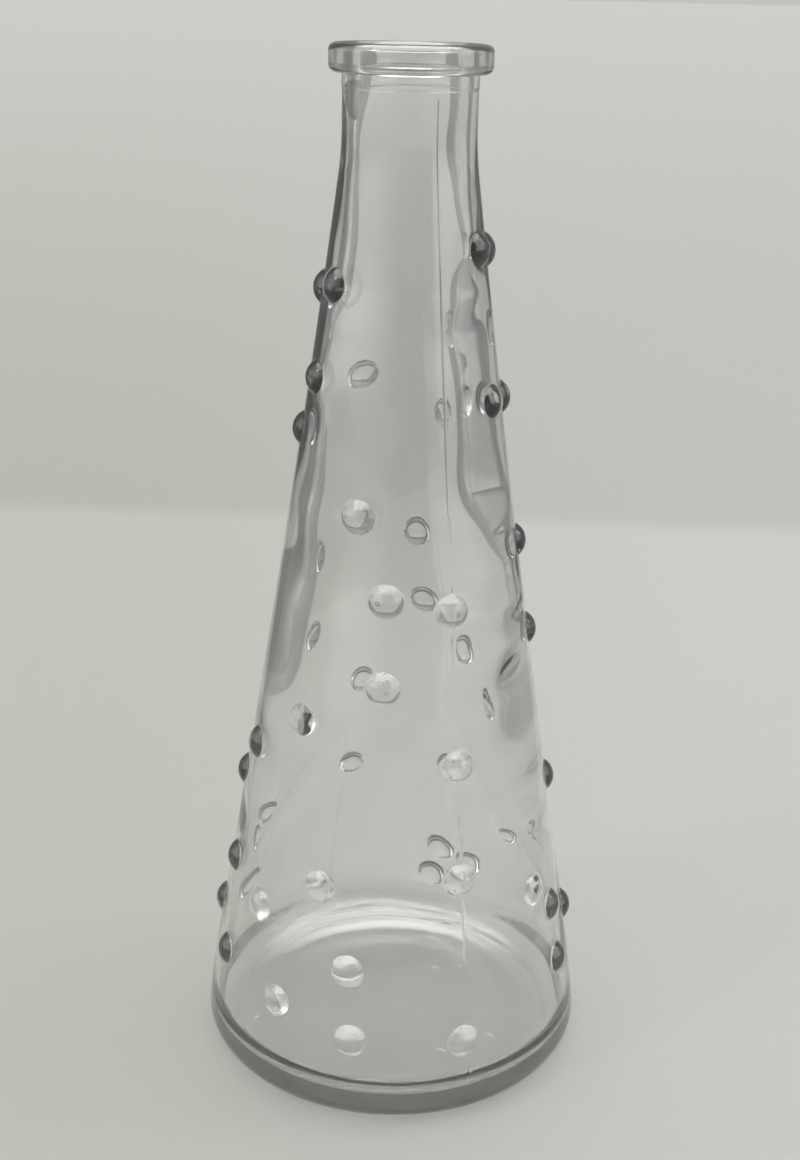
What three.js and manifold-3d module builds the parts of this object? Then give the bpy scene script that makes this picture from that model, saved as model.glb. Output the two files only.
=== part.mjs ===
// Glass carafe: one moulding of clear glass with raised drops, open at the top.
// Millimetres, +Z up, origin on the table under the middle of the base.
// The front of the carafe faces -Y. A bearing is counted from there, positive towards +X.
// The glass is drawn whole and then divided at the heights where a glassmaker divides it:
// lip, neck ring, neck, shoulder, body and heel, with the floor inside the heel.

import * as THREE from "three";
import { mergeVertices } from "three/addons/utils/BufferGeometryUtils.js";
import Module from "manifold-3d";

const wasm = await Module();
wasm.setup();

// Whole carafe
const overall_height = 270;

// Base: a flat ring to stand on, with the underside pushed up inside it
const bearing_radius = 45.7;
const bearing_width = 3.5;
const push_up = 2;
const heel_radius = 7;
const heel_height = 14;

// Inside of the base
const floor_thickness = 5;
const floor_dome = 1;
const inner_heel_radius = 9;

// Wall: leaves the heel at one lean, reaches the neck at another
const foot_lean = 5.5;
const foot_handle = 20;
const head_lean = 7.6;
const head_handle = 120;

// Neck, with the ring that the neck mould leaves under the lip
const neck_radius = 16.45;
const neck_blend_radius = 90;
const neck_straight = 8.2;
const neck_length = 29.5;
const neck_ring_height = 3.5;
const neck_ring_step = 0.12;

// Lip
const lip_radius = 19.8;
const lip_height = 6.8;
const lip_corner = 1.8;
const mouth_radius = 12.2;
const mouth_corner = 1.6;

// Glass thickness: thin in the body, thick in the shoulder where the hot glass gathered
const thin_wall = 2.2;
const thick_wall = 6.9;
const shoulder_length = 62;
const thickening_length = 85;
const thickening_overlap = 7;
const neck_thinning_length = 47;

// Raised drops, and the height of wall that their layout is drawn for
const drop_radius = 4.3;
const drop_height = 2.3;
const layout_height = 230;

// Facets
const round_segments = 60;
const drop_segments = 10;
const drop_steps = 3;
const corner_steps = 3;
const outside_steps = 10;
const blend_steps = 3;
const inside_steps = 13;
const curve_search_steps = 40;
const merge_distance = 1e-4;

// Heights of the divisions, worked out from the top down
const lip_bottom = overall_height - lip_height;
const neck_ring_bottom = lip_bottom - neck_ring_height;
const neck_bottom = neck_ring_bottom - neck_length;
const shoulder_bottom = neck_bottom - shoulder_length;
const straight_bottom = neck_ring_bottom - neck_straight;

// Bearing in degrees and height of each drop: first those in front and at the two sides
const near_drops = [
  [-6, 140], [24, 137], [-6, 118], [-41, 106], [24, 97], [-26, 64], [23, 67], [-51, 52],
  [56, 56], [68, 47], [-14, 43], [-38, 29], [68, 31], [-12, 24], [22, 23],
  [-59, 214], [-91, 212], [-68, 191], [-88, 176], [-22, 160], [-72, 92], [-90, 78], [-75, 57],
  [-90, 37], [-69, 31], [65, 223], [90, 222], [64, 186], [90, 185], [88, 147], [89, 122],
  [90, 78], [90, 37],
];

// Those behind, which show through the glass
const far_drops = [
  [125, 200], [144, 176], [-154, 186], [170, 141], [168, 120], [146, 104], [198, 93], [118, 91],
  [201, 62], [153, 62], [110, 55], [129, 46], [161, 29], [150, 26], [165, 18.6],
  [-118, 137], [-120, 114], [-121, 54], [-112, 47], [-112, 31],
];

const radians = THREE.MathUtils.degToRad;
const point = (radius, height) => new THREE.Vector2(radius, height);

// Outer wall as a curve in radius and height: heel arc, long curve, blend arc, straight neck
const heel_centre = point(bearing_radius, heel_radius);
const blend_centre = point(neck_radius + neck_blend_radius, straight_bottom);

function onArc(centre, radius, angle) {
  return point(centre.x + radius * Math.cos(angle), centre.y + radius * Math.sin(angle));
}

const foot_angle = radians(foot_lean);
const head_angle = radians(head_lean);
const wall_foot = onArc(heel_centre, heel_radius, foot_angle);
const wall_head = onArc(blend_centre, neck_blend_radius, Math.PI + head_angle);

const wall_curve = new THREE.CubicBezierCurve(
  wall_foot,
  point(wall_foot.x - foot_handle * Math.sin(foot_angle), wall_foot.y + foot_handle * Math.cos(foot_angle)),
  point(wall_head.x + head_handle * Math.sin(head_angle), wall_head.y - head_handle * Math.cos(head_angle)),
  wall_head,
);

function curveRadius(height) {
  let low = 0;
  let high = 1;
  for (let step = 0; step < curve_search_steps; step += 1) {
    const middle = (low + high) / 2;
    if (wall_curve.getPoint(middle).y < height) low = middle;
    else high = middle;
  }
  return wall_curve.getPoint(low).x;
}

function outerRadius(height) {
  if (height >= straight_bottom) return neck_radius;
  if (height >= wall_head.y) {
    const below = straight_bottom - height;
    return blend_centre.x - Math.sqrt(neck_blend_radius ** 2 - below ** 2);
  }
  if (height >= wall_foot.y) return curveRadius(height);
  return heel_centre.x + Math.sqrt(heel_radius ** 2 - (heel_radius - height) ** 2);
}

function glassThickness(height) {
  const thick_from = shoulder_bottom + thickening_overlap;
  const gathered = THREE.MathUtils.smoothstep(height, thick_from - thickening_length, thick_from);
  const drawn_out = THREE.MathUtils.smoothstep(
    height, neck_ring_bottom - neck_thinning_length, neck_ring_bottom);
  const neck_wall = neck_radius - mouth_radius;
  return thin_wall + gathered * (thick_wall - thin_wall) + drawn_out * (neck_wall - thick_wall);
}

const innerRadius = (height) => outerRadius(height) - glassThickness(height);

function levels(from, to, count) {
  return Array.from({ length: count + 1 }, (_, step) => from + (to - from) * step / count);
}

function arcPoints(centre, radius, from, to, steps) {
  return levels(from, to, steps).map((angle) => onArc(centre, radius, angle));
}

// Profile of the glass, from the axis under the base, round the outside, to the axis inside
function undersideProfile() {
  const rim = bearing_radius - bearing_width;
  const sphere = (rim ** 2 + push_up ** 2) / (2 * push_up);
  const dome = levels(0, rim, corner_steps).map(
    (radius) => point(radius, Math.sqrt(sphere ** 2 - radius ** 2) - (sphere - push_up)));
  dome[dome.length - 1].y = 0;
  return dome;
}

function outsideProfile() {
  const heel = arcPoints(heel_centre, heel_radius, -Math.PI / 2, foot_angle, 2 * corner_steps);
  const wall = levels(wall_foot.y, wall_head.y, outside_steps).slice(1).map(
    (height) => point(outerRadius(height), height));
  const blend = levels(wall_head.y, straight_bottom, blend_steps).slice(1).map(
    (height) => point(outerRadius(height), height));
  const ring_radius = neck_radius + neck_ring_step;
  return [
    ...heel, ...wall, ...blend,
    point(neck_radius, neck_ring_bottom),
    point(ring_radius, neck_ring_bottom),
    point(ring_radius, lip_bottom),
  ];
}

function lipProfile() {
  const edge = lip_radius - lip_corner;
  const low = point(edge, lip_bottom + lip_corner);
  const high = point(edge, overall_height - lip_corner);
  const inner = point(mouth_radius + mouth_corner, overall_height - mouth_corner);
  return [
    ...arcPoints(low, lip_corner, -Math.PI / 2, 0, corner_steps),
    ...arcPoints(high, lip_corner, 0, Math.PI / 2, corner_steps),
    ...arcPoints(inner, mouth_corner, Math.PI / 2, Math.PI, corner_steps),
  ];
}

const heel_inside = floor_thickness + inner_heel_radius;
const floor_radius = innerRadius(heel_inside) - inner_heel_radius;

function insideProfile() {
  const wall = levels(neck_ring_bottom, heel_inside, inside_steps).map(
    (height) => point(innerRadius(height), height));
  const centre = point(floor_radius, heel_inside);
  const heel = arcPoints(centre, inner_heel_radius, 0, -Math.PI / 2, corner_steps).slice(1);
  return [...wall, ...heel, point(floor_radius / 2, floor_thickness + floor_dome * (1 - 0.5 ** 2)),
    point(0, floor_thickness + floor_dome)];
}

// Solids
function toSolid(geometry) {
  const plain = geometry.index ? geometry.toNonIndexed() : geometry.clone();
  plain.deleteAttribute("normal");
  plain.deleteAttribute("uv");
  const merged = mergeVertices(plain, merge_distance);
  const corners = merged.index.array;
  const faces = [];
  for (let at = 0; at < corners.length; at += 3) {
    const [a, b, c] = [corners[at], corners[at + 1], corners[at + 2]];
    if (a !== b && b !== c && c !== a) faces.push(a, b, c);
  }
  return new wasm.Manifold(new wasm.Mesh({
    numProp: 3,
    vertProperties: merged.attributes.position.array,
    triVerts: new Uint32Array(faces),
  }));
}

function toGeometry(solid) {
  const mesh = solid.getMesh();
  const geometry = new THREE.BufferGeometry();
  geometry.setAttribute("position", new THREE.BufferAttribute(mesh.vertProperties.slice(), 3));
  geometry.setIndex(new THREE.BufferAttribute(mesh.triVerts.slice(), 1));
  const shaded = geometry.toNonIndexed();
  shaded.computeVertexNormals();
  return shaded;
}

function turned(profile, segments) {
  return new THREE.LatheGeometry(profile, segments).rotateX(Math.PI / 2);
}

// One raised drop: a slice of a sphere, with its flat side sunk into the wall
const drop_root = thin_wall / 2;

function dropGeometry() {
  const sphere = (drop_radius ** 2 + drop_height ** 2) / (2 * drop_height);
  const centre = point(0, drop_height - sphere);
  const edge = Math.asin((-drop_root - centre.y) / sphere);
  const cap = arcPoints(centre, sphere, edge, Math.PI / 2, drop_steps);
  cap[cap.length - 1].x = 0;
  return turned([point(0, -drop_root), ...cap], drop_segments);
}

// Where a drop sits: its axis square to the wall at a bearing and height
function dropPlace(bearing, layout_level) {
  const height = layout_level * neck_bottom / layout_height;
  const slope = (outerRadius(height + 1) - outerRadius(height - 1)) / 2;
  const around = radians(bearing);
  const outward = new THREE.Vector3(Math.sin(around), -Math.cos(around), 0);
  const axis = outward.clone().setZ(-slope).normalize();
  const spin = new THREE.Quaternion().setFromUnitVectors(new THREE.Vector3(0, 0, 1), axis);
  const seat = outward.multiplyScalar(outerRadius(height)).setZ(height);
  return new THREE.Matrix4().compose(seat, spin, new THREE.Vector3(1, 1, 1));
}

function mouldedGlass() {
  const profile = [...undersideProfile(), ...outsideProfile(), ...lipProfile(), ...insideProfile()];
  const drop = dropGeometry();
  return [...near_drops, ...far_drops].reduce(
    (glass, [bearing, height]) => glass.add(toSolid(drop.clone().applyMatrix4(dropPlace(bearing, height)))),
    toSolid(turned(profile, round_segments)),
  );
}

// Cutters: a slab between two heights, and the round plug that parts the floor from the heel
const cutter_margin = 10;

function slab(from, to) {
  const width = 2 * (bearing_radius + heel_radius + drop_height + cutter_margin);
  return toSolid(new THREE.BoxGeometry(width, width, to - from).translate(0, 0, (from + to) / 2));
}

function floorPlug() {
  const height = heel_height + 2 * cutter_margin;
  const plug = new THREE.CylinderGeometry(floor_radius, floor_radius, height, round_segments);
  return toSolid(plug.rotateX(Math.PI / 2).translate(0, 0, heel_height / 2));
}

// The carafe as a group of named zones of the same glass
const carafe = new THREE.Group();

function addZone(name, solid) {
  const glass_look = new THREE.MeshStandardMaterial({
    color: 0xc6ccc4,
    roughness: 0.04,
    metalness: 0,
    transparent: true,
    opacity: 0.4,
  });
  const mesh = new THREE.Mesh(toGeometry(solid), glass_look);
  mesh.name = name;
  carafe.add(mesh);
}

const glass = mouldedGlass();
const base = glass.intersect(slab(-cutter_margin, heel_height));
const plug = floorPlug();

addZone("lip", glass.intersect(slab(lip_bottom, overall_height + cutter_margin)));
addZone("neck_ring", glass.intersect(slab(neck_ring_bottom, lip_bottom)));
addZone("neck", glass.intersect(slab(neck_bottom, neck_ring_bottom)));
addZone("shoulder", glass.intersect(slab(shoulder_bottom, neck_bottom)));
addZone("body", glass.intersect(slab(heel_height, shoulder_bottom)));
addZone("heel", base.subtract(plug));
addZone("floor", base.intersect(plug));

export default carafe;
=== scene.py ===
"""Glass carafe with raised drops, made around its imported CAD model, with a studio to show it in.

Metres, +Z up, in the frame of the CAD model: the carafe stands on z = 0 and its front faces -Y.
A bearing is counted round the carafe from the front, in degrees, positive towards +X.
"""

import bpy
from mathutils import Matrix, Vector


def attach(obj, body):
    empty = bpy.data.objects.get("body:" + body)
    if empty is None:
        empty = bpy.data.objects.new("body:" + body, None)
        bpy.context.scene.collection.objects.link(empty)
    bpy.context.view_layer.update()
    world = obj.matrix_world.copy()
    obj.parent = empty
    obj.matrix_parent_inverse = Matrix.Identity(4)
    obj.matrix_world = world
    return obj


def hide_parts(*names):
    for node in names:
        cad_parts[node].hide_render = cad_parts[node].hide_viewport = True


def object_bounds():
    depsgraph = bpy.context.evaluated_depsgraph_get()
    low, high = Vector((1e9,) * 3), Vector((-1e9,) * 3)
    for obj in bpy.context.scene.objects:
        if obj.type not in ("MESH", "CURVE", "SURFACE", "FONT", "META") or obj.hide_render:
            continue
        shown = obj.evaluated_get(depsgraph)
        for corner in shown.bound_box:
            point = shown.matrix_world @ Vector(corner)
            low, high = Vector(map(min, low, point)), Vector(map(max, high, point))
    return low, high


bl_info = {
    "name": "Glass Carafe",
    "version": (1, 0, 0),
    "blender": (4, 5, 0),
    "location": "3D View > Sidebar > Carafe",
    "description": "Moulded glass carafe with raised drops, and a studio to show it in",
    "category": "Add Mesh",
}

import math

import bpy
import numpy as np
from mathutils import Matrix, Vector, geometry

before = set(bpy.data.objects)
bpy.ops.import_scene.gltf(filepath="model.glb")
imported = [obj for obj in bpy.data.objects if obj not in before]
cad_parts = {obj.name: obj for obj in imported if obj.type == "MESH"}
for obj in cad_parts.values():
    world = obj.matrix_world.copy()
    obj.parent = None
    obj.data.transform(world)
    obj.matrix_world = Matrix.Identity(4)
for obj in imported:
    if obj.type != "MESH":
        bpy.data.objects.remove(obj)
CAD_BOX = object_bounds()
MM = 0.001

# Outside of the glass
HEIGHT = CAD_BOX[1].z
BEARING_RADIUS = 45.7 * MM
BEARING_WIDTH = 3.5 * MM
BEARING_RISE = 0.1 * MM
PUSH_UP = 2 * MM
HEEL_RADIUS = 7 * MM
FOOT_LEAN = math.radians(5.5)
FOOT_HANDLE = 20 * MM
HEAD_LEAN = math.radians(7.6)
HEAD_HANDLE = 120 * MM
NECK_RADIUS = 16.45 * MM
NECK_BLEND_RADIUS = 90 * MM
NECK_STRAIGHT = 8.2 * MM
NECK_LENGTH = 29.5 * MM
NECK_RING_HEIGHT = 3.5 * MM
NECK_RING_STEP = 0.12 * MM
LIP_RADIUS = 19.8 * MM
LIP_HEIGHT = 6.8 * MM
LIP_CORNER = 1.8 * MM

# Inside of the glass
FLOOR_HEIGHT = 5 * MM
FLOOR_DOME = 1 * MM
INNER_HEEL_RADIUS = 9 * MM
MOUTH_RADIUS = 12.2 * MM
MOUTH_CORNER = 1.6 * MM
SHOULDER_LENGTH = 62 * MM
THICKENING_LENGTH = 85 * MM
THICKENING_OVERLAP = 7 * MM
NECK_THINNING_LENGTH = 47 * MM

# Step at the parting line under the neck ring, and the straight bit just under the lip
PARTING_REACH = 0.8 * MM
PARTING_SLOPE = 0.1 * MM
LIP_ROOT = 0.6 * MM

# Heights worked out from the top down
LIP_BOTTOM = HEIGHT - LIP_HEIGHT
RING_BOTTOM = LIP_BOTTOM - NECK_RING_HEIGHT
NECK_BOTTOM = RING_BOTTOM - NECK_LENGTH
STRAIGHT_BOTTOM = RING_BOTTOM - NECK_STRAIGHT
THICK_FROM = NECK_BOTTOM - SHOULDER_LENGTH + THICKENING_OVERLAP
INNER_HEEL_TOP = FLOOR_HEIGHT + INNER_HEEL_RADIUS

# Raised drops: bearing, and height in millimetres on a wall that is LAYOUT_HEIGHT high
LAYOUT_HEIGHT = 230
NEAR_DROPS = [
    (-6, 140), (24, 137), (-6, 118), (-41, 106), (24, 97), (-26, 64), (23, 67), (-51, 52),
    (56, 56), (68, 47), (-14, 43), (-38, 29), (68, 31), (-12, 24), (22, 23),
    (-59, 214), (-91, 212), (-68, 191), (-88, 176), (-22, 160), (-72, 92), (-90, 78), (-75, 57),
    (-90, 37), (-69, 31), (65, 223), (90, 222), (64, 186), (90, 185), (88, 147), (89, 122),
    (90, 78), (90, 37),
]
FAR_DROPS = [
    (125, 200), (144, 176), (-154, 186), (170, 141), (168, 120), (146, 104), (198, 93), (118, 91),
    (201, 62), (153, 62), (110, 55), (129, 46), (161, 29), (150, 26), (165, 18.6),
    (-118, 137), (-120, 114), (-121, 54), (-112, 47), (-112, 31),
]

# Mould lines: bearings, fading at both ends, and their rows and columns of points
SEAM_BEARINGS = (24, 204)
SEAM_FADE_FOOT = 2 * MM
SEAM_FADE_NECK = 1 * MM
SEAM_ROW = 0.45 * MM
SEAM_COLUMNS = (-0.6 * MM, -0.22 * MM, 0, 0.22 * MM, 0.6 * MM)
SEAM_INSET = 0.6  # of a row of the wall
GRID_CLEAR_OF_SEAM = 0.9 * MM
DROPS_CLEAR_OF_SEAM = 0.8 * MM

# Uneven glass: how much thicker than even the wall is, by height, both in millimetres
THICKER_ON_THE_RIGHT = [
    (52, 0), (70, 0.6), (86, 2.3), (98, 3), (110, 2.3), (124, 0.5), (134, -0.7), (142, -0.9),
    (152, 0.2), (164, 1.3), (178, 1), (190, 0.8), (202, 1.2), (212, 0.1), (223, -1.2),
    (236, -0.5), (250, 0.1), (263, 0),
]
THICKER_ON_THE_LEFT = [
    (70, 0), (94, 1.2), (116, 2), (138, 1.2), (158, -0.4), (174, -0.9), (188, -2.8), (202, -2),
    (214, -0.9), (226, -0.6), (246, -0.9), (263, 0),
]
UNEVEN_BEARING = 68
UNEVEN_SPREAD = 36

# Slow waves inside the glass, level at the floor and at the neck
WAVES = 14
WAVE_SEED = 7
WAVE_TURNS = 7
WAVE_LENGTH = 26 * MM
WAVE_FADE_FLOOR = 20 * MM
WAVE_FADE_NECK = 30 * MM

# Points that the curves of the section are drawn with, before it is traced in even steps
WALL_POINTS = 400
INSIDE_POINTS = 600
DOME_POINTS = 60
FOOT_POINTS = 20
LEVEL_POINTS = 4000
TRACE = 0.02 * MM
CORNER_STEPS = 15  # that each corner is rounded over

# Fineness of the mesh: columns round the carafe, and rows along each stretch in millimetres
COLUMNS = 180
COLUMN_BEARINGS = np.arange(COLUMNS) * 2 * math.pi / COLUMNS
ROW_SPACING = {
    "underside": 3.4, "ring": 0.7, "heel": 0.9, "parting": 0.12, "neck_ring": 1,
    "lip_under": 0.15, "lip_low": 0.3, "lip_side": 0.8, "lip_high": 0.3, "lip_land": 0.8,
    "mouth": 0.3, "inside": 2.1, "inner_heel": 1.1, "floor": 3,
}
WALL_ROW = 1.7 * MM
WALL_ANGLE = -60  # on the arc of the heel, where the wall's mesh begins
LOW_WALL = 9 * MM  # where the rows are closer together
LOW_WALL_ROWS = 10
JOIN_MARGIN = 0.25
WELD = 1e-9

# Directions out of the glass, taken across this step and never nearer to the axis than this
NORMAL_STEP = 0.03 * MM
AXIS_CLEARANCE = 0.2 * MM
TINY = 1e-30

# Rings of points on a drop: share of the way out to its edge, and spokes from point to point
DROP_SPOKES = 32
DROP_RINGS = [
    (0.22, 4), (0.44, 2), (0.64, 2), (0.8, 1), (0.91, 1), (0.965, 1), (1, 1), (1.035, 1),
    (1.15, 1),
]
EDGE_RANGE = (0.5, 1.5)  # in drop radii, where the edge is looked for
EDGE_HALVINGS = 24

# Room round a drop, in drop radii: clear of the plain grid, and as far as it lifts the wall
CLEAR_ROUND_DROP = 1.27
DROP_REACH = 1.7

# Neighbouring drops
DROPS_APART = 14 * MM  # where two drops can't share points
DROP_SKIRT = 0.2 * MM  # how far below a point beside its own drop another one has to stay

# Finish of the glass: colour, noise scales per metre, and the noise that shows as wear
GLASS_COLOUR = (0.985, 0.985, 0.98, 1)
SLOW_PEEL = 55
FINE_PEEL = 210
FINE_PEEL_SHARE = 0.22
HANDLING = 24
SCUFFS = 900
HANDLED = (0.45, 0.8)
SCUFFED = (0.6, 0.9)
UNDERSIDE_TOP = (PUSH_UP + 0.1 * MM, PUSH_UP + 0.3 * MM)
UNDERSIDE_EDGE = (BEARING_RADIUS, BEARING_RADIUS + 1 * MM)

# Table and paper: how their colours spread sideways and backwards as painted light, darker at the
# left and the paper lighter further back; the paper's edge, and grain
SPREAD_FROM = 0.45
SPREAD = 0.22
PAPER_FADE = (0.2, 0.95)
PAPER_SLANT = 0.03
PAPER_EDGE = (-0.012, 0.02)
GRAIN_COLOUR = (0.75, 0.75, 0.73)
GRAIN_SHARE = 0.03
GRAIN = 1400
CLOUDS = 9
TOOTH = 1800
TABLE_REACH = 80

# Painted shade at the sides of the table, which only the glass shows; slopes are sideways over
# backwards
SIDE_SLOPE = 0.25
SIDE_EDGE = (1, 1.1)
LEFT_TO_RIGHT = (-0.1, 0.1)
LEFT_END_SLOPES = (1.1, 1.4)
RIGHT_END_SLOPES = (0.66, 0.82)
FAR_OFF = (0.9, 1.4)

# Room that the glass shows: where ceiling and walls begin, by the height of a direction
CEILING_EDGE = (0.66, 0.86)
SILL_EDGE = (-0.02, 0.14)
UNDER_SILL = 0.4  # of the walls' brightness
CEILING_GAIN = 0.6  # more of it for light that has gone through the glass
ROOM_COLOUR = (0.99, 1, 0.975, 1)

# Room by share of a turn from behind the carafe over its left: two windows, dim between them
ROOM_BY_BEARING = [
    (0, 0.4), (0.1, 0.2), (0.17, 0.6), (0.22, 1.6), (0.3, 3), (0.37, 2.2), (0.48, 0.1),
    (0.6, 0.06), (0.62, 2.8), (0.72, 2.8), (0.79, 1), (0.85, 0.5), (0.92, 0.45), (1, 0.4),
]

# Lamps, turned to the middle of the carafe
LAMP_TARGET = (0, 0, 0.12)
KEY_LAMP = {"place": (-0.75, -0.45, 0.95), "size": (0.14, 0.26), "colour": (1, 1, 0.98)}
FILL_LAMP = {"place": (0.9, 0.1, 0.8), "size": (0.3, 0.5), "colour": (1, 0.99, 1)}

# Camera of the photograph, with its focal length and the picture's height in pixels
CAMERA_PLACE = (0, -0.401, 0.2816)
CAMERA_TILT = math.radians(20.16)
CAMERA_ROLL = math.radians(1.24)
SENSOR = 36
FOCAL_LENGTH = 1605
PICTURE_HEIGHT = 1160
CLIP = (0.01, 200)


# Settings

class CarafeShape(bpy.types.PropertyGroup):
    """Sizes of the glass that a user would change."""

    thin_wall: bpy.props.FloatProperty(
        name="Thin wall", description="Thickness of the glass in the body",
        default=2.2 * MM, min=1 * MM, max=4 * MM, unit="LENGTH", precision=4)
    thick_wall: bpy.props.FloatProperty(
        name="Thick wall", description="Thickness of the glass in the shoulder",
        default=6.9 * MM, min=3 * MM, max=9 * MM, unit="LENGTH", precision=4)
    unevenness: bpy.props.FloatProperty(
        name="Unevenness", description="How strongly the wall varies from side to side",
        default=1, min=0, max=1, subtype="FACTOR")
    ripple: bpy.props.FloatProperty(
        name="Ripple", description="Height of the slow waves on the inside of the glass",
        default=0.045 * MM, min=0, max=0.5 * MM, unit="LENGTH", precision=5)
    drop_radius: bpy.props.FloatProperty(
        name="Drop radius", description="Radius of a raised drop where it meets the wall",
        default=4.3 * MM, min=3 * MM, max=5 * MM, unit="LENGTH", precision=4)
    drop_height: bpy.props.FloatProperty(
        name="Drop height", description="How far a raised drop stands out of the wall",
        default=2.3 * MM, min=1 * MM, max=2.8 * MM, unit="LENGTH", precision=4)
    drop_fillet: bpy.props.FloatProperty(
        name="Drop fillet", description="Softness of the corner between a drop and the wall",
        default=0.2 * MM, min=0.05 * MM, max=0.6 * MM, unit="LENGTH", precision=5)
    seam_height: bpy.props.FloatProperty(
        name="Seam height", description="Height of the line that the two halves of the mould leave",
        default=0.11 * MM, min=0, max=0.3 * MM, unit="LENGTH", precision=5)
    seam_width: bpy.props.FloatProperty(
        name="Seam width", description="Half width of the mould line",
        default=0.28 * MM, min=0.1 * MM, max=1 * MM, unit="LENGTH", precision=5)


class CarafeGlass(bpy.types.PropertyGroup):
    """Finish of the glass."""

    refraction: bpy.props.FloatProperty(
        name="Index of refraction", description="Soda-lime glass is about 1.52",
        default=1.52, min=1.4, max=1.7)
    tint: bpy.props.FloatVectorProperty(
        name="Tint", description="Colour that thick glass takes on",
        default=(0.39, 0.415, 0.385), min=0, max=1, size=3, subtype="COLOR")
    tint_density: bpy.props.FloatProperty(
        name="Tint density", description="How fast the tint builds up, per metre of glass",
        default=33, min=0, max=100)
    clearness: bpy.props.FloatProperty(
        name="Clearness", description="Share of the light that a surface doesn't scatter",
        default=0.972, min=0.5, max=1, subtype="FACTOR")
    wear: bpy.props.FloatProperty(
        name="Wear", description="Greatest roughness, where the glass has been handled",
        default=0.03, min=0, max=0.2, subtype="FACTOR")
    foot_wear: bpy.props.FloatProperty(
        name="Foot wear", description="Roughness of the underside and of the ring it stands on",
        default=0.32, min=0, max=0.8, subtype="FACTOR")
    orange_peel: bpy.props.FloatProperty(
        name="Orange peel", description="Height of the fine waves that the mould leaves",
        default=0.006 * MM, min=0, max=0.1 * MM, unit="LENGTH", precision=6)


class CarafeStudio(bpy.types.PropertyGroup):
    """Floor, background and lamps."""

    # Table and paper colours hold painted light: darker at the left, lighter at the right, and the
    # paper lighter where it is farthest away.
    table_left: bpy.props.FloatVectorProperty(
        name="Table, left", description="Colour of the table at the left",
        default=(0.505, 0.520, 0.468), min=0, max=1, size=3, subtype="COLOR")
    table_right: bpy.props.FloatVectorProperty(
        name="Table, right", description="Colour of the table at the right",
        default=(0.570, 0.572, 0.565), min=0, max=1, size=3, subtype="COLOR")
    paper_left: bpy.props.FloatVectorProperty(
        name="Paper, left", description="Colour of the paper behind the table, at the left",
        default=(0.432, 0.438, 0.392), min=0, max=1, size=3, subtype="COLOR")
    paper_right: bpy.props.FloatVectorProperty(
        name="Paper, right", description="Colour of the paper behind the table, at the right",
        default=(0.485, 0.485, 0.478), min=0, max=1, size=3, subtype="COLOR")
    paper_far: bpy.props.FloatVectorProperty(
        name="Paper, far", description="Colour of the paper where it is farthest away",
        default=(0.505, 0.512, 0.482), min=0, max=1, size=3, subtype="COLOR")
    # The beside colours and the far side are painted shade that only the glass shows, where the
    # light falls off at the sides of the table.
    beside_left: bpy.props.FloatVectorProperty(
        name="Beside, left", description="Colour of the table's left side that the glass shows",
        default=(0.1, 0.102, 0.1), min=0, max=1, size=3, subtype="COLOR")
    beside_right: bpy.props.FloatVectorProperty(
        name="Beside, right", description="Colour of the table's right side that the glass shows",
        default=(0.1, 0.102, 0.1), min=0, max=1, size=3, subtype="COLOR")
    beside_far: bpy.props.FloatVectorProperty(
        name="Beside, far", description="Colour that the glass shows further out than the sides",
        default=(0.34, 0.343, 0.34), min=0, max=1, size=3, subtype="COLOR")
    far_side: bpy.props.FloatVectorProperty(
        name="Far side", description="Colour that the glass shows far off, beyond the sides",
        default=(0.5, 0.5, 0.5), min=0, max=1, size=3, subtype="COLOR")
    beside_from: bpy.props.FloatProperty(
        name="Beside, from", description="How far out at the carafe the dim sides begin",
        default=0.13, min=0.05, max=10, unit="LENGTH")
    table_depth: bpy.props.FloatProperty(
        name="Table depth", description="From the carafe to the back edge of the table",
        default=0.465, min=0.2, max=2, unit="LENGTH")
    key_power: bpy.props.FloatProperty(
        name="Key", description="Power of the lamp at the upper left",
        default=1.0, min=0, max=100, unit="POWER")
    fill_power: bpy.props.FloatProperty(
        name="Fill", description="Power of the lamp at the right",
        default=1.0, min=0, max=100, unit="POWER")
    backdrop: bpy.props.FloatProperty(
        name="Backdrop", description="Brightness of the backdrop above the table",
        default=0.545, min=0, max=2)
    window_level: bpy.props.FloatProperty(
        name="Windows", description="Brightness of the walls and windows seen in the glass",
        default=1, min=0, max=10)
    ceiling_level: bpy.props.FloatProperty(
        name="Ceiling", description="Brightness of the ceiling that the glass reflects",
        default=5.6, min=0, max=20)
    room_level: bpy.props.FloatProperty(
        name="Room level", description="Brightness of the room all round",
        default=0.87, min=0, max=2)


# Section through the glass

def arc(centre, radius, start, end):
    """Points of an arc, close together, from one angle to another in degrees."""
    turns = np.radians(np.linspace(start, end, max(8, int(abs(end - start)))))
    return np.stack([centre[0] + radius * np.cos(turns), centre[1] + radius * np.sin(turns)], 1)


def smooth(values, low, high):
    """Goes from 0 at low to 1 at high, level at both ends."""
    share = np.clip((values - low) / (high - low), 0, 1)
    return share * share * (3 - 2 * share)


def wall_points():
    """Outside of the wall above the heel: long curve, blend into the neck, straight neck."""
    foot = arc((BEARING_RADIUS, HEEL_RADIUS), HEEL_RADIUS, 0, math.degrees(FOOT_LEAN))[-1]
    blend_centre = (NECK_RADIUS + NECK_BLEND_RADIUS, STRAIGHT_BOTTOM)
    blend = arc(blend_centre, NECK_BLEND_RADIUS, 180 + math.degrees(HEAD_LEAN), 180)
    head = blend[0]
    foot_handle = foot + FOOT_HANDLE * np.array([-math.sin(FOOT_LEAN), math.cos(FOOT_LEAN)])
    head_handle = head + HEAD_HANDLE * np.array([math.sin(HEAD_LEAN), -math.cos(HEAD_LEAN)])
    t = np.linspace(0, 1, WALL_POINTS)[:, None]
    curve = ((1 - t) ** 3 * foot + 3 * t * (1 - t) ** 2 * foot_handle
             + 3 * t ** 2 * (1 - t) * head_handle + t ** 3 * head)
    return np.vstack([curve, blend[1:]])


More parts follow.
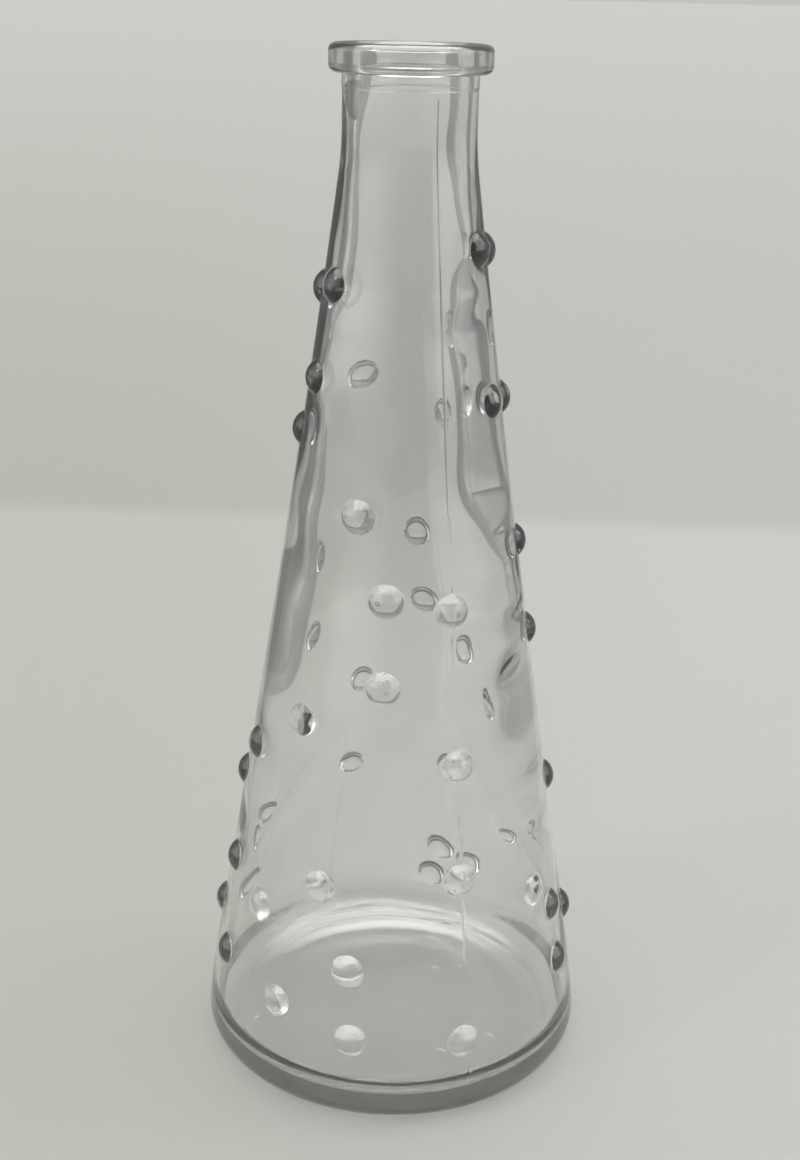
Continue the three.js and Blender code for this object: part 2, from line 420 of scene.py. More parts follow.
def glass_thickness(heights, shape):
    """Thickness of the even wall."""
    gathered = smooth(heights, THICK_FROM - THICKENING_LENGTH, THICK_FROM)
    drawn_out = smooth(heights, RING_BOTTOM - NECK_THINNING_LENGTH, RING_BOTTOM)
    neck_wall = NECK_RADIUS - MOUTH_RADIUS
    return (shape.thin_wall + gathered * (shape.thick_wall - shape.thin_wall)
            + drawn_out * (neck_wall - shape.thick_wall))


class Section:
    """The outline of the glass in section, from the axis under the base, round the outside
    and over the lip, to the axis on the inner floor. Points are found by distance along it."""

    def __init__(self, shape):
        wall = wall_points()
        rim = BEARING_RADIUS - BEARING_WIDTH
        heel = (BEARING_RADIUS, HEEL_RADIUS)
        across = np.linspace(0, rim, DOME_POINTS)
        dome = np.stack(
            [across, BEARING_RISE + (PUSH_UP - BEARING_RISE) * (1 - (across / rim) ** 2)], 1)
        bearing = np.linspace(rim, BEARING_RADIUS, FOOT_POINTS)
        foot = np.stack(
            [bearing, BEARING_RISE * ((BEARING_RADIUS - bearing) / BEARING_WIDTH) ** 2], 1)
        ring = NECK_RADIUS + NECK_RING_STEP
        edge = LIP_RADIUS - LIP_CORNER
        land = MOUTH_RADIUS + MOUTH_CORNER
        heights = np.linspace(RING_BOTTOM, INNER_HEEL_TOP, INSIDE_POINTS)
        outer = np.interp(heights, wall[:, 1], wall[:, 0])
        inside = np.stack([outer - glass_thickness(heights, shape), heights], 1)
        floor_radius = inside[-1, 0] - INNER_HEEL_RADIUS
        inward = np.linspace(floor_radius, 0, DOME_POINTS)
        floor = np.stack(
            [inward, FLOOR_HEIGHT + FLOOR_DOME * (1 - (inward / floor_radius) ** 2)], 1)
        self.stretches = {
            "underside": dome,
            "ring": foot,
            "heel": arc(heel, HEEL_RADIUS, -90, WALL_ANGLE),
            "wall": np.vstack([
                arc(heel, HEEL_RADIUS, WALL_ANGLE, math.degrees(FOOT_LEAN)), wall[1:],
                [(NECK_RADIUS, RING_BOTTOM - PARTING_REACH)]]),
            "parting": np.array([
                (NECK_RADIUS, RING_BOTTOM - PARTING_REACH), (NECK_RADIUS, RING_BOTTOM),
                (ring, RING_BOTTOM + PARTING_SLOPE), (ring, RING_BOTTOM + PARTING_REACH)]),
            "neck_ring": np.array([
                (ring, RING_BOTTOM + PARTING_REACH), (ring, LIP_BOTTOM - LIP_ROOT)]),
            "lip_under": np.array([
                (ring, LIP_BOTTOM - LIP_ROOT), (ring, LIP_BOTTOM), (edge, LIP_BOTTOM)]),
            "lip_low": arc((edge, LIP_BOTTOM + LIP_CORNER), LIP_CORNER, -90, 0),
            "lip_side": np.array([
                (LIP_RADIUS, LIP_BOTTOM + LIP_CORNER), (LIP_RADIUS, HEIGHT - LIP_CORNER)]),
            "lip_high": arc((edge, HEIGHT - LIP_CORNER), LIP_CORNER, 0, 90),
            "lip_land": np.array([(edge, HEIGHT), (land, HEIGHT)]),
            "mouth": arc((land, HEIGHT - MOUTH_CORNER), MOUTH_CORNER, 90, 180),
            "inside": np.vstack([[(MOUTH_RADIUS, HEIGHT - MOUTH_CORNER)], inside]),
            "inner_heel": arc((floor_radius, INNER_HEEL_TOP), INNER_HEEL_RADIUS, 0, -90),
            "floor": floor,
        }
        self.trace()

    def trace(self):
        """Walks the stretches in short even steps and rounds their corners a little."""
        self.start = {}
        radii, heights, length = [], [], 0.0
        for name, points in self.stretches.items():
            steps = np.hypot(*np.diff(points, axis=0).T)
            along = np.concatenate([[0], np.cumsum(steps)])
            count = max(2, round(along[-1] / TRACE))
            at = np.linspace(0, along[-1], count, endpoint=False)
            radii.append(np.interp(at, along, points[:, 0]))
            heights.append(np.interp(at, along, points[:, 1]))
            self.start[name] = length
            length += along[-1]
        radius = np.append(np.concatenate(radii), 0)
        height = np.append(np.concatenate(heights), FLOOR_HEIGHT + FLOOR_DOME)
        window = np.ones(CORNER_STEPS) / CORNER_STEPS
        inner = slice(CORNER_STEPS // 2, -(CORNER_STEPS // 2))
        radius[inner] = np.convolve(radius, window, "valid")
        height[inner] = np.convolve(height, window, "valid")
        steps = np.hypot(np.diff(radius), np.diff(height))
        traced = np.concatenate([[0], np.cumsum(steps)])
        for name, value in self.start.items():
            self.start[name] = value * traced[-1] / length
        self.end = traced[-1]
        along_r, along_z = np.gradient(radius, traced), np.gradient(height, traced)
        size = np.hypot(along_r, along_z)
        self.table = np.stack([radius, height, along_z / size, -along_r / size])
        self.at = traced

    def stretch_end(self, name):
        """Distance along the section at which a stretch ends."""
        names = list(self.stretches)
        following = names.index(name) + 1
        return self.start[names[following]] if following < len(names) else self.end

    def read(self, along):
        """Radius, height and the direction out of the glass at distances along the section."""
        return [np.interp(along, self.at, row) for row in self.table]

    def rows(self, first, last):
        """Distances of the mesh rows from the start of one stretch to the end of another."""
        names = list(self.stretches)
        distances = []
        for name in names[names.index(first):names.index(last) + 1]:
            start, end = self.start[name], self.stretch_end(name)
            count = max(1, round((end - start) / (ROW_SPACING[name] * MM)))
            distances.append(np.linspace(start, end, count, endpoint=False))
        return np.append(np.concatenate(distances), self.stretch_end(last))


# Surface of the glass

def on_the_turn(bearing, radius, height):
    """Points at these bearings in radians, radii and heights."""
    return np.stack([radius * np.sin(bearing), -radius * np.cos(bearing),
                     height + 0 * bearing], -1)


def turned_from(bearing, other):
    """How far bearings lie round from another one, the shorter way, in radians."""
    return np.angle(np.exp(1j * (bearing - other)))


class Surface:
    """The skin of the glass: the turned section with the drops, the mould line and the waves."""

    def __init__(self, shape):
        self.shape = shape
        self.section = Section(shape)
        self.wall_start = self.section.start["wall"]
        self.wall_end = self.section.start["parting"]
        self.inside_start = self.section.start["inside"]
        self.map_wall()
        self.place_drops()
        self.choose_waves()

    def map_wall(self):
        """Flattens the wall without changing its angles: sideways the bearing, upwards the
        distance along the section over the radius there, summed."""
        self.wall_at = np.linspace(self.wall_start, self.wall_end, LEVEL_POINTS)
        radius = self.section.read(self.wall_at)[0]
        steps = np.diff(self.wall_at) * 2 / (radius[1:] + radius[:-1])
        self.wall_level = np.concatenate([[0], np.cumsum(steps)])

    def level(self, along):
        """Level on the flattened wall of a distance along the section."""
        return np.interp(along, self.wall_at, self.wall_level)

    def along(self, level):
        """Distance along the section of a level on the flattened wall."""
        return np.interp(level, self.wall_level, self.wall_at)

    def plain(self, bearing, along):
        """Points of the turned section with nothing added, the directions out of it there, and
        their radii and heights."""
        radius, height, out_r, out_z = self.section.read(along)
        return (on_the_turn(bearing, radius, height), on_the_turn(bearing, out_r, out_z),
                radius, height)

    def place_drops(self):
        """Bearing, level and the ball of each drop. The ball is cut by the wall in a cap."""
        layout = NEAR_DROPS + FAR_DROPS
        scale = NECK_BOTTOM / LAYOUT_HEIGHT
        bearing = np.radians([b for b, _ in layout])
        height = np.array([h for _, h in layout]) * scale
        on_wall = (self.section.at > self.wall_start) & (self.section.at < self.wall_end)
        along = np.interp(height, self.section.table[1][on_wall], self.section.at[on_wall])
        centre, out, radius, _ = self.plain(bearing, along)
        shape = self.shape
        self.ball_radius = ((shape.drop_radius ** 2 + shape.drop_height ** 2)
                            / (2 * shape.drop_height))
        self.ball_centre = centre - out * (self.ball_radius - shape.drop_height)
        self.drop_centre = centre
        self.drop_bearing = np.mod(bearing, 2 * math.pi)
        self.drop_level = self.level(along)
        self.drop_wall_radius = radius

    def choose_waves(self):
        """Directions and phases of the slow waves that blown glass has inside."""
        chance = np.random.default_rng(WAVE_SEED)
        self.wave_turns = chance.integers(0, WAVE_TURNS, WAVES)
        self.wave_rises = chance.uniform(-1, 1, WAVES) * 2 * math.pi / WAVE_LENGTH
        self.wave_phases = chance.uniform(0, 2 * math.pi, WAVES)

    def reach(self, points, out, ball):
        """How far points go along out to meet a ball's far side; negative outside it."""
        apart = points - ball
        ahead = (apart * out).sum(-1)
        under = ahead ** 2 - (apart ** 2).sum(-1) + self.ball_radius ** 2
        return np.where(under > 0, np.sqrt(np.maximum(under, 0)) - ahead, -1)

    def drop_lift(self, points, out):
        """How far the drops lift points of the wall, with a fillet where they meet it."""
        lift = np.full(len(points), -1.0)
        near = DROP_REACH * self.shape.drop_radius
        for centre, ball in zip(self.drop_centre, self.ball_centre):
            close = np.abs(points - centre).max(1) < near
            if close.any():
                reach = self.reach(points[close], out[close], ball)
                lift[close] = np.maximum(lift[close], reach)
        soft = self.shape.drop_fillet
        blended = (np.clip(lift, -soft, soft) + soft) ** 2 / (4 * soft)
        return np.where(lift > soft, lift, blended)

    def seam_lift(self, bearing, radius, along):
        """The fine ridge where the halves of the mould meet, level at both ends of the wall."""
        fade = (smooth(along, self.wall_start, self.wall_start + SEAM_FADE_FOOT)
                * (1 - smooth(along, self.wall_end - SEAM_FADE_NECK, self.wall_end)))
        lift = np.zeros(len(bearing))
        for seam in SEAM_BEARINGS:
            aside = turned_from(bearing, math.radians(seam)) * radius
            lift += self.shape.seam_height * np.exp(-(aside / self.shape.seam_width) ** 2)
        return lift * fade

    def uneven(self, bearing, height):
        """Extra thickness on the inside of the wall, from side to side and in slow waves."""
        extra = np.zeros(len(bearing))
        for side, profile in ((UNEVEN_BEARING, THICKER_ON_THE_RIGHT),
                              (-UNEVEN_BEARING, THICKER_ON_THE_LEFT)):
            levels, amounts = np.array(profile).T * MM
            aside = turned_from(bearing, math.radians(side))
            facing = np.exp(-(aside / math.radians(UNEVEN_SPREAD)) ** 2)
            extra += facing * soft_interp(height, levels, amounts)
        waves = np.zeros(len(bearing))
        for turns, rise, phase in zip(self.wave_turns, self.wave_rises, self.wave_phases):
            waves += np.sin(turns * bearing + rise * height + phase)
        fade = (smooth(height, INNER_HEEL_TOP, INNER_HEEL_TOP + WAVE_FADE_FLOOR)
                * (1 - smooth(height, LIP_BOTTOM - WAVE_FADE_NECK, LIP_BOTTOM)))
        return self.shape.unevenness * extra + self.shape.ripple * waves / 2 * fade

    def place(self, bearing, along):
        """Points of the finished surface at bearings and distances along the section."""
        points, out, radius, height = self.plain(bearing, along)
        lift = np.zeros(len(along))
        wall = (along > self.wall_start) & (along < self.wall_end)
        lift[wall] = (self.drop_lift(points[wall], out[wall])
                      + self.seam_lift(bearing[wall], radius[wall], along[wall]))
        inside = along > self.inside_start
        lift[inside] = self.uneven(bearing[inside], height[inside])
        return points + out * lift[:, None]

    def normals(self, bearing, along):
        """Directions out of the glass, from points a hair's breadth to either side."""
        turn = NORMAL_STEP / np.maximum(self.section.read(along)[0], AXIS_CLEARANCE)
        low = np.maximum(along - NORMAL_STEP, 0)
        high = np.minimum(along + NORMAL_STEP, self.section.end)
        sideways = self.place(bearing + turn, along) - self.place(bearing - turn, along)
        upwards = self.place(bearing, high) - self.place(bearing, low)
        out = np.cross(sideways, upwards)
        return out / np.maximum(np.linalg.norm(out, axis=1, keepdims=True), TINY)


def soft_interp(at, knots, values):
    """Interpolates with level ground at each knot."""
    index = np.clip(np.searchsorted(knots, at) - 1, 0, len(knots) - 2)
    share = smooth(at, knots[index], knots[index + 1])
    return values[index] + (values[index + 1] - values[index]) * share


# Mesh of the glass

def drop_rings(surface):
    """Bearings and levels of the points on and round each drop, ring by ring. The edge of a
    drop is found on every spoke by halving, and points on the mould lines are left out."""
    spokes = np.linspace(0, 2 * math.pi, DROP_SPOKES, endpoint=False)
    found = []
    for number, ball in enumerate(surface.ball_centre):
        unit = surface.shape.drop_radius / surface.drop_wall_radius[number]
        near, far = (np.full(DROP_SPOKES, share * unit) for share in EDGE_RANGE)

        def flat(out, turns=spokes):
            return (surface.drop_bearing[number] + out * np.sin(turns),
                    surface.drop_level[number] + out * np.cos(turns))

        for _ in range(EDGE_HALVINGS):
            middle = (near + far) / 2
            bearing, level = flat(middle)
            points, out, _, _ = surface.plain(bearing, surface.along(level))
            reach = surface.reach(points, out, ball)
            near, far = np.where(reach > 0, middle, near), np.where(reach > 0, far, middle)
        rings = [flat(np.zeros(1), np.zeros(1))]
        for order, (share, every) in enumerate(DROP_RINGS):
            turns = spokes[::every] + (order % 2) * math.pi / DROP_SPOKES * every
            edge = np.interp(turns, spokes, near, period=2 * math.pi)
            rings.append(flat(share * edge, turns))
        points = np.array([np.concatenate(parts) for parts in zip(*rings)]).T
        found.append(points[belongs(surface, points, number)])
    found = np.vstack(found)
    radius = surface.section.read(surface.along(found[:, 1]))[0]
    return found[off_the_seams(found[:, 0], radius, DROPS_CLEAR_OF_SEAM)]


def belongs(surface, points, number):
    """Which of a drop's points no other drop covers."""
    at, out, _, _ = surface.plain(points[:, 0], surface.along(points[:, 1]))
    own_ball = surface.ball_centre[number]
    own = np.maximum(surface.reach(at, out, own_ball), -DROP_SKIRT)
    keep = np.ones(len(points), bool)
    for other, ball in enumerate(surface.ball_centre):
        if other != number and np.linalg.norm(ball - own_ball) < DROPS_APART:
            keep &= surface.reach(at, out, ball) < own
    return keep


def off_the_seams(bearing, radius, clear):
    """Which of the points on the wall are farther from both mould lines than this."""
    keep = np.ones(len(bearing), bool)
    for seam in SEAM_BEARINGS:
        keep &= np.abs(turned_from(bearing, math.radians(seam))) * radius > clear
    return keep


def wall_grid(surface, alongs):
    """Bearings and levels of the plain rows, each half a column on from the one below."""
    rows = []
    for number, along in enumerate(alongs):
        inner = 0 < number < len(alongs) - 1
        shift = math.pi / COLUMNS * (number % 2) if inner else 0
        bearing = COLUMN_BEARINGS + shift
        level = np.full(COLUMNS, surface.level(along))
        radius = surface.section.read(along)[0]
        keep = np.ones(COLUMNS, bool)
        if inner:
            keep &= off_the_seams(bearing, radius, GRID_CLEAR_OF_SEAM)
            for at, middle, wall_radius in zip(
                    surface.drop_bearing, surface.drop_level, surface.drop_wall_radius):
                apart = np.hypot(turned_from(bearing, at), level - middle) * wall_radius
                keep &= apart > CLEAR_ROUND_DROP * surface.shape.drop_radius
        rows.append(np.stack([bearing[keep], level[keep]], 1))
    return rows


def seam_points(surface):
    """Bearings and levels of the points along the two mould lines."""
    inset = SEAM_INSET * WALL_ROW
    count = round((surface.wall_end - surface.wall_start - 2 * inset) / SEAM_ROW)
    along = np.linspace(surface.wall_start + inset, surface.wall_end - inset, count)
    radius, level = surface.section.read(along)[0], surface.level(along)
    found = []
    for seam in SEAM_BEARINGS:
        for aside in SEAM_COLUMNS:
            found.append(np.stack([math.radians(seam) + aside / radius, level], 1))
    return np.vstack(found)


def join_flat(points):
    """Triangles between points on the flattened wall. The points of a margin at either side are
    repeated at the other, and the triangles of one turn are kept, so the wall closes."""
    turn = 2 * math.pi
    bearing = np.mod(points[:, 0], turn)
    number = np.arange(len(points))
    first, last = bearing < JOIN_MARGIN, bearing > turn - JOIN_MARGIN
    flat = np.vstack([
        np.stack([bearing, points[:, 1]], 1),
        np.stack([bearing[first] + turn, points[first, 1]], 1),
        np.stack([bearing[last] - turn, points[last, 1]], 1),
    ])
    origin = np.concatenate([number, number[first], number[last]])
    made = geometry.delaunay_2d_cdt(flat.tolist(), [], [], 0, WELD, True)
    corners = np.array([tuple(face) for face in made[2]])
    came_from = np.array([ids[0] for ids in made[3]])[corners]
    at = flat[came_from]
    middle = at[:, :, 0].mean(1)
    kept = (middle >= 0) & (middle < turn)
    across, up = at[:, 1] - at[:, 0], at[:, 2] - at[:, 0]
    clockwise = across[:, 0] * up[:, 1] - across[:, 1] * up[:, 0] < 0
    came_from[clockwise] = came_from[clockwise][:, ::-1]
    return origin[came_from[kept]]


def wall_rows(surface):
    """Distances of the wall's rows, closer together round the heel."""
    low_end = surface.wall_start + LOW_WALL
    low = np.linspace(surface.wall_start, low_end, LOW_WALL_ROWS + 1)
    count = round((surface.wall_end - low_end) / WALL_ROW)
    return np.append(low[:-1], np.linspace(low_end, surface.wall_end, count))


def glass_mesh(shape):
    """One closed skin round the glass: the wall as triangles, the rest as rows of quads."""
    surface = Surface(shape)
    section = surface.section
    rows = wall_grid(surface, wall_rows(surface))
    # The end rows of the wall come first, because the rows of quads are joined to them
    flat = np.vstack([
        rows[0], rows[-1], *rows[1:-1], seam_points(surface), drop_rings(surface)])
    faces = [tuple(face) for face in join_flat(flat)]
    bearing, along = flat[:, 0], surface.along(flat[:, 1])
    along[:COLUMNS] = surface.wall_start
    along[COLUMNS:2 * COLUMNS] = surface.wall_end

    below = section.rows("underside", "heel")[1:-1]
    above = section.rows("parting", "floor")[1:-1]
    parts = [(bearing, along)]
    for distances in (below, above):
        parts.append((np.tile(COLUMN_BEARINGS, len(distances)), np.repeat(distances, COLUMNS)))
    parts.append((np.zeros(2), np.array([0, section.end])))
    bearing = np.concatenate([part[0] for part in parts])
    along = np.concatenate([part[1] for part in parts])

    def ring(number):
        return np.arange(COLUMNS) + number

    below_start = len(flat)
    above_start = below_start + len(below) * COLUMNS
    low_rings = [ring(below_start + n * COLUMNS) for n in range(len(below))] + [ring(0)]
    high_rings = [ring(COLUMNS)] + [ring(above_start + n * COLUMNS) for n in range(len(above))]
    for rings in (low_rings, high_rings):
        for lower, upper in zip(rings, rings[1:]):
            faces += zip(lower, np.roll(lower, -1), np.roll(upper, -1), upper)
    under, floor = len(bearing) - 2, len(bearing) - 1
    first, last = low_rings[0], high_rings[-1]
    faces += [(under, b, a) for a, b in zip(first, np.roll(first, -1))]
    faces += [(floor, a, b) for a, b in zip(last, np.roll(last, -1))]

    points = surface.place(bearing, along)
    normals = surface.normals(bearing, along)
    normals[under], normals[floor] = (0, 0, -1), (0, 0, 1)
    points[[under, floor], :2] = 0

    mesh = bpy.data.meshes.new("carafe_glass")
    mesh.from_pydata(points.tolist(), [], [tuple(int(c) for c in face) for face in faces])
    mesh.shade_smooth()
    mesh.normals_split_custom_set_from_vertices(normals.tolist())
    return mesh


# Shader trees

class Wire:
    """A socket of a shader tree, so that sums and products of sockets read as Python."""

    def __init__(self, tree, socket):
        self.tree, self.socket = tree, socket

    def work(self, operation, *values):
        """A Math node on these values."""
        node = self.tree.add("ShaderNodeMath", {"operation": operation},
                             dict(enumerate(values)))
        return node.out(0)

    def __add__(self, other):
        return self.work("ADD", self, other)

    def __radd__(self, other):
        return self.work("ADD", other, self)

    def __sub__(self, other):
        return self.work("SUBTRACT", self, other)

    def __rsub__(self, other):
        return self.work("SUBTRACT", other, self)

    def __mul__(self, other):
        return self.work("MULTIPLY", self, other)

    def __rmul__(self, other):
        return self.work("MULTIPLY", other, self)

    def __truediv__(self, other):
        return self.work("DIVIDE", self, other)

    def __pow__(self, other):
        return self.work("POWER", self, other)


class Placed:
    """A node in a tree, with its outputs as wires."""

    def __init__(self, tree, node):
        self.tree, self.node = tree, node

    def out(self, name):
        return Wire(self.tree, self.node.outputs[name])


class Tree:
    """A shader tree, emptied and ready for new nodes."""

    def __init__(self, owner):
        owner.use_nodes = True
        self.nodes, self.links = owner.node_tree.nodes, owner.node_tree.links
        self.nodes.clear()

    def add(self, kind, settings=None, sockets=None):
        """A new node: first its settings, then the values and the links of its sockets."""
        node = self.nodes.new(kind)
        for name, value in (settings or {}).items():
            if name == "stops":
                self.set_stops(node.color_ramp, value)
            else:
                setattr(node, name, value)
        for name, value in (sockets or {}).items():
            if isinstance(value, Wire):
                self.links.new(value.socket, node.inputs[name])
            else:
                node.inputs[name].default_value = value
        return Placed(self, node)

    @staticmethod
    def set_stops(ramp, stops):
        """Gives a colour ramp its greys, each at its position."""
        while len(ramp.elements) < len(stops):
            ramp.elements.new(1)
        for element, (position, value) in zip(ramp.elements, stops):
            element.position = position
            element.color = (value, value, value, 1)

    def noise(self, where, scale, detail, roughness=0.5):
        """Smooth noise between 0 and 1."""
        return self.add("ShaderNodeTexNoise", {}, {
            "Vector": where, "Scale": scale, "Detail": detail, "Roughness": roughness,
        }).out("Fac")

    def between(self, value, low, high):
        """0 where value is at most low, 1 where it is at least high, smooth between."""
        return self.add("ShaderNodeMapRange", {"interpolation_type": "SMOOTHSTEP"}, {
            "Value": value, "From Min": low, "From Max": high,
        }).out("Result")

    def mix(self, share, first, second):
        """Mixes two colours, which a Mix node takes at sockets 6 and 7 and gives at 2."""
        node = self.add("ShaderNodeMix", {"data_type": "RGBA"}, {0: share})
        for index, value in ((6, first), (7, second)):
            if isinstance(value, Wire):
                self.links.new(value.socket, node.node.inputs[index])
            else:
                node.node.inputs[index].default_value = (*value, 1)
        return node.out(2)


# Materials

def glass_material(finish):
    """Clear moulded glass: faint waves from the mould, light wear, a tint in its depth, and a
    duller underside."""
    material = bpy.data.materials.new("clear_glass")
    tree = Tree(material)
    where = tree.add("ShaderNodeTexCoord").out("Object")
    handled = tree.noise(where, HANDLING, 3, 0.6)
    scuffs = tree.noise(where, SCUFFS, 2, 0.7)
    peel = tree.noise(where, SLOW_PEEL, 1) + tree.noise(where, FINE_PEEL, 1) * FINE_PEEL_SHARE
    bump = tree.add("ShaderNodeBump", {}, {
        "Strength": 1.0, "Distance": finish.orange_peel, "Height": peel,
    }).out("Normal")
    parts = tree.add("ShaderNodeSeparateXYZ", {}, {"Vector": where})
    x, y, z = parts.out("X"), parts.out("Y"), parts.out("Z")
    out_from_axis = (x * x + y * y) ** 0.5
    under = ((1 - tree.between(z, *UNDERSIDE_TOP))
             * (1 - tree.between(out_from_axis, *UNDERSIDE_EDGE)))
    worn = tree.between(handled, *HANDLED) * 0.5 + tree.between(scuffs, *SCUFFED) * 0.5
    roughness = worn * finish.wear + under * finish.foot_wear
    glass = tree.add("ShaderNodeBsdfPrincipled", {}, {
        "Base Color": GLASS_COLOUR, "Roughness": roughness, "IOR": finish.refraction,
        "Transmission Weight": finish.clearness, "Normal": bump,
    }).out("BSDF")
    tint = tree.add("ShaderNodeVolumeAbsorption", {}, {
        "Color": (*finish.tint, 1), "Density": finish.tint_density,
    }).out("Volume")
    tree.add("ShaderNodeOutputMaterial", {}, {"Surface": glass, "Volume": tint})
    return material


def ground_colour(tree, studio, x, y):
    """Colour of the pale table and of the paper behind it, with painted light: darker at the left,
    lighter to the right, and the paper lighter further back.
    """
    depth = y.work("ABSOLUTE", y)
    # Painted light: the ground turns lighter from left to right.
    rightward = tree.between(x / (depth + SPREAD_FROM), -SPREAD, SPREAD)
    table = tree.mix(rightward, studio.table_left, studio.table_right)
    # Painted light: the paper turns lighter further back.
    paper = tree.mix(tree.between(depth / (depth + 1), *PAPER_FADE),
                     tree.mix(rightward, studio.paper_left, studio.paper_right), studio.paper_far)
    edge = (studio.table_depth + offset for offset in PAPER_EDGE)
    return tree.mix(tree.between(y + x * PAPER_SLANT, *edge), table, paper)


def painted_side_shade(tree, studio, x, y, pale):
    """The same ground with painted shade at the sides: darker where the light falls off beside the
    table.
    """
    aside, back = x.work("ABSOLUTE", x), y.work("MAXIMUM", y, 1 * MM)
    beside = tree.between(aside / (back * SIDE_SLOPE + studio.beside_from), *SIDE_EDGE)
    rightmost = tree.between(x, *LEFT_TO_RIGHT)
    off_left = tree.between(aside / back, *LEFT_END_SLOPES)
    off_right = tree.between(aside / back, *RIGHT_END_SLOPES)
    off_side = off_left * (1 - rightmost) + off_right * rightmost
    away = (x * x + y * y) ** 0.5
    far = tree.mix(tree.between(away, *FAR_OFF), studio.beside_far, studio.far_side)
    near = tree.mix(rightmost, studio.beside_left, studio.beside_right)
    return tree.mix(beside, pale, tree.mix(off_side, near, far))


def table_material(studio):
    """Matt table top and paper: plain and pale to the camera, with painted shade at the sides for
    the glass.
    """
    material = bpy.data.materials.new("matt_table")
    tree = Tree(material)
    where = tree.add("ShaderNodeTexCoord").out("Object")
    parts = tree.add("ShaderNodeSeparateXYZ", {}, {"Vector": where})
    x, y = parts.out("X"), parts.out("Y")
    pale = ground_colour(tree, studio, x, y)
    camera = tree.add("ShaderNodeLightPath").out("Is Camera Ray")
    # Painted shade at the sides, left out of camera rays.
    colour = tree.mix(camera, painted_side_shade(tree, studio, x, y, pale), pale)
    grain = tree.noise(where, GRAIN, 2) * GRAIN_SHARE + tree.noise(where, CLOUDS, 2) * GRAIN_SHARE
    speck = tree.mix(grain, colour, GRAIN_COLOUR)
    bump = tree.add("ShaderNodeBump", {}, {
        "Strength": 0.25, "Distance": 0.02 * MM, "Height": tree.noise(where, TOOTH, 2),
    }).out("Normal")
    surface = tree.add("ShaderNodeBsdfPrincipled", {}, {
        "Base Color": speck, "Roughness": 0.6, "Normal": bump,
        "Specular IOR Level": 0.25,
    }).out("BSDF")
    tree.add("ShaderNodeOutputMaterial", {}, {"Surface": surface})
    return material


def room_world(studio):
    """A plain backdrop to the camera, and to the glass a room with a window on either side and a
    bright ceiling. The rest of the light is even."""
    world = bpy.data.worlds.new("studio_room")
    tree = Tree(world)
    direction = tree.add("ShaderNodeTexCoord").out("Generated")
    parts = tree.add("ShaderNodeSeparateXYZ", {}, {"Vector": direction})
    x, y, z = parts.out("X"), parts.out("Y"), parts.out("Z")
    turn = x.work("ARCTAN2", x, -1 * y) / (2 * math.pi) + 0.5
    walls = tree.add("ShaderNodeValToRGB", {"stops": ROOM_BY_BEARING}, {"Fac": turn}).out("Color")
    up = tree.between(z, *CEILING_EDGE)
    paths = tree.add("ShaderNodeLightPath")
    camera, through = paths.out("Is Camera Ray"), paths.out("Is Transmission Ray")
    glass = tree.between(paths.out("Is Glossy Ray") + through, 0, 1)
    sill = tree.between(z, *SILL_EDGE) * (1 - UNDER_SILL) + UNDER_SILL
    ceiling = (1 + through * CEILING_GAIN) * studio.ceiling_level
    seen = (1 - up) * walls * sill * studio.window_level + up * ceiling
    other = (1 - camera) * (1 - glass)
    strength = camera * studio.backdrop + glass * seen + other * studio.room_level
    background = tree.add("ShaderNodeBackground", {}, {
        "Color": ROOM_COLOUR, "Strength": strength,
    }).out("Background")
    tree.add("ShaderNodeOutputWorld", {}, {"Surface": background})
    return world


# Stage

def add_object(name, data):
    """A new object in the scene."""
    made = bpy.data.objects.new(name, data)
    bpy.context.scene.collection.objects.link(made)
    return made


def add_lamp(name, power, place, size, colour):
    """A soft rectangular lamp, turned to the carafe."""
    data = bpy.data.lights.new(name, "AREA")
    data.shape, data.size, data.size_y = "RECTANGLE", *size
    data.energy, data.color = power, colour
    lamp = add_object(name, data)
    facing = (Vector(place) - Vector(LAMP_TARGET)).to_track_quat("Z", "Y")
    lamp.matrix_world = Matrix.Translation(place) @ facing.to_matrix().to_4x4()


def add_camera():
    """The camera of the photograph: above the lip, looking down, turned a little."""
    level = (math.sin(CAMERA_TILT), math.cos(CAMERA_TILT))
    across = (math.cos(CAMERA_ROLL), *(math.sin(CAMERA_ROLL) * part for part in level))
    up = (-math.sin(CAMERA_ROLL), *(math.cos(CAMERA_ROLL) * part for part in level))
    back = (0, -math.cos(CAMERA_TILT), math.sin(CAMERA_TILT))
    data = bpy.data.cameras.new("camera")
    data.sensor_width = SENSOR
    data.lens = SENSOR * FOCAL_LENGTH / PICTURE_HEIGHT
    data.clip_start, data.clip_end = CLIP
    camera = add_object("camera", data)
    camera.matrix_world = Matrix.Translation(CAMERA_PLACE) @ Matrix(
        (across, up, back)).transposed().to_4x4()
    bpy.context.scene.camera = camera


class CARAFE_OT_glass(bpy.types.Operator):
    """Makes the moulded glass in one piece, in place of the zones of the CAD model"""

    bl_idname = "carafe.glass"
    bl_label = "Moulded glass"

    def execute(self, context):
        mesh = glass_mesh(context.scene.carafe_shape)
        mesh.materials.append(glass_material(context.scene.carafe_glass))
        glass = add_object("carafe_glass", mesh)
        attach(glass, "root")
        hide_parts("lip", "neck_ring", "neck", "shoulder", "body", "heel", "floor")
        return {"FINISHED"}


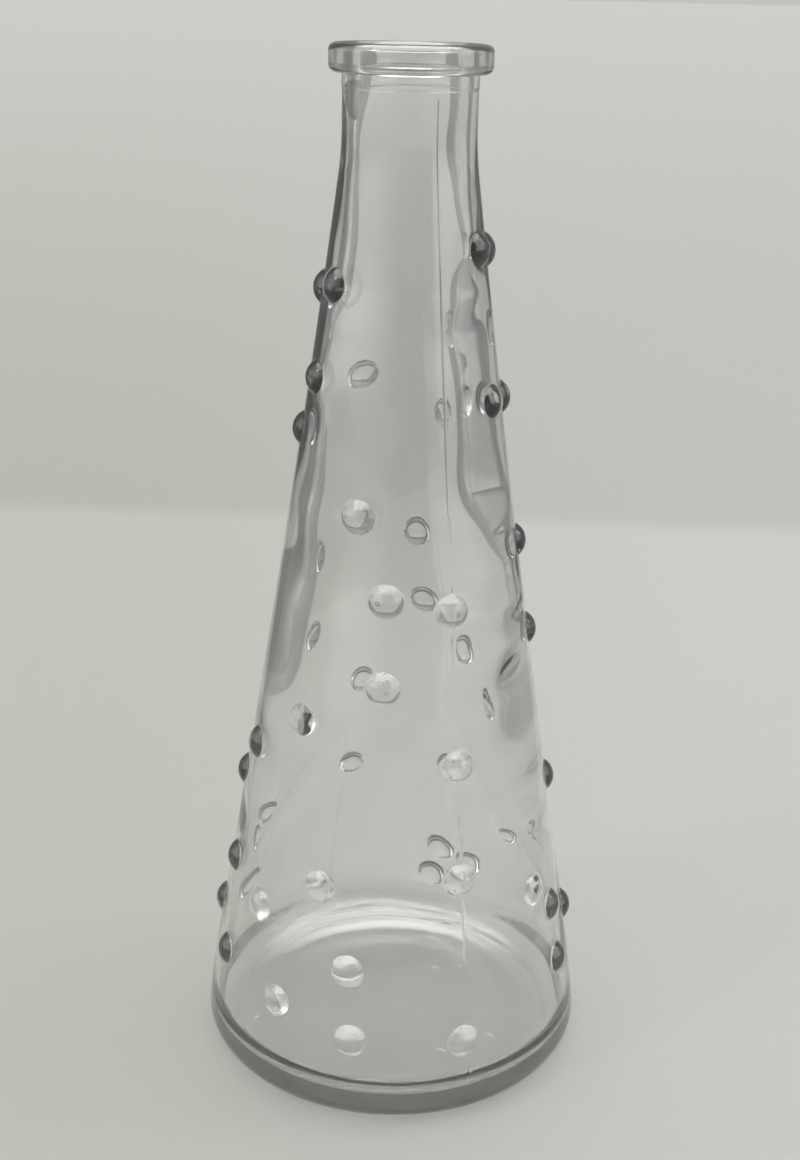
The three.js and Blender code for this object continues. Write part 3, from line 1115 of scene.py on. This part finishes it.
class CARAFE_OT_stage(bpy.types.Operator):
    """Makes the table, the room, the lamps and the camera"""

    bl_idname = "carafe.stage"
    bl_label = "Stage"

    def execute(self, context):
        studio = context.scene.carafe_studio
        mesh = bpy.data.meshes.new("table")
        corners = [(x * TABLE_REACH, y * TABLE_REACH, 0)
                   for x, y in ((-1, -1), (1, -1), (1, 1), (-1, 1))]
        mesh.from_pydata(corners, [], [(0, 1, 2, 3)])
        mesh.materials.append(table_material(studio))
        add_object("table", mesh)
        context.scene.world = room_world(studio)
        add_lamp("key_lamp", studio.key_power, **KEY_LAMP)
        add_lamp("fill_lamp", studio.fill_power, **FILL_LAMP)
        add_camera()
        context.scene.view_settings.view_transform = "Standard"
        return {"FINISHED"}


class CARAFE_PT_panel(bpy.types.Panel):
    """The settings and the two steps, in the sidebar of the 3D view."""

    bl_label = "Glass carafe"
    bl_idname = "CARAFE_PT_panel"
    bl_space_type = "VIEW_3D"
    bl_region_type = "UI"
    bl_category = "Carafe"

    def draw(self, context):
        for title, settings, operator in (
                ("Shape", context.scene.carafe_shape, None),
                ("Finish", context.scene.carafe_glass, CARAFE_OT_glass),
                ("Studio", context.scene.carafe_studio, CARAFE_OT_stage)):
            box = self.layout.box()
            box.label(text=title)
            for name in settings.bl_rna.properties.keys():
                if name not in ("rna_type", "name"):
                    box.prop(settings, name)
            if operator:
                box.operator(operator.bl_idname)


CLASSES = (CarafeShape, CarafeGlass, CarafeStudio, CARAFE_OT_glass, CARAFE_OT_stage,
           CARAFE_PT_panel)


def register():
    """Makes the settings and the steps known to Blender."""
    for each in CLASSES:
        bpy.utils.register_class(each)
    bpy.types.Scene.carafe_shape = bpy.props.PointerProperty(type=CarafeShape)
    bpy.types.Scene.carafe_glass = bpy.props.PointerProperty(type=CarafeGlass)
    bpy.types.Scene.carafe_studio = bpy.props.PointerProperty(type=CarafeStudio)


def unregister():
    """Takes back what register did."""
    del bpy.types.Scene.carafe_studio
    del bpy.types.Scene.carafe_glass
    del bpy.types.Scene.carafe_shape
    for each in reversed(CLASSES):
        bpy.utils.unregister_class(each)


def main():
    """Makes the carafe and its stage."""
    register()
    bpy.ops.carafe.glass()
    bpy.ops.carafe.stage()


if __name__ == "__main__":
    main()
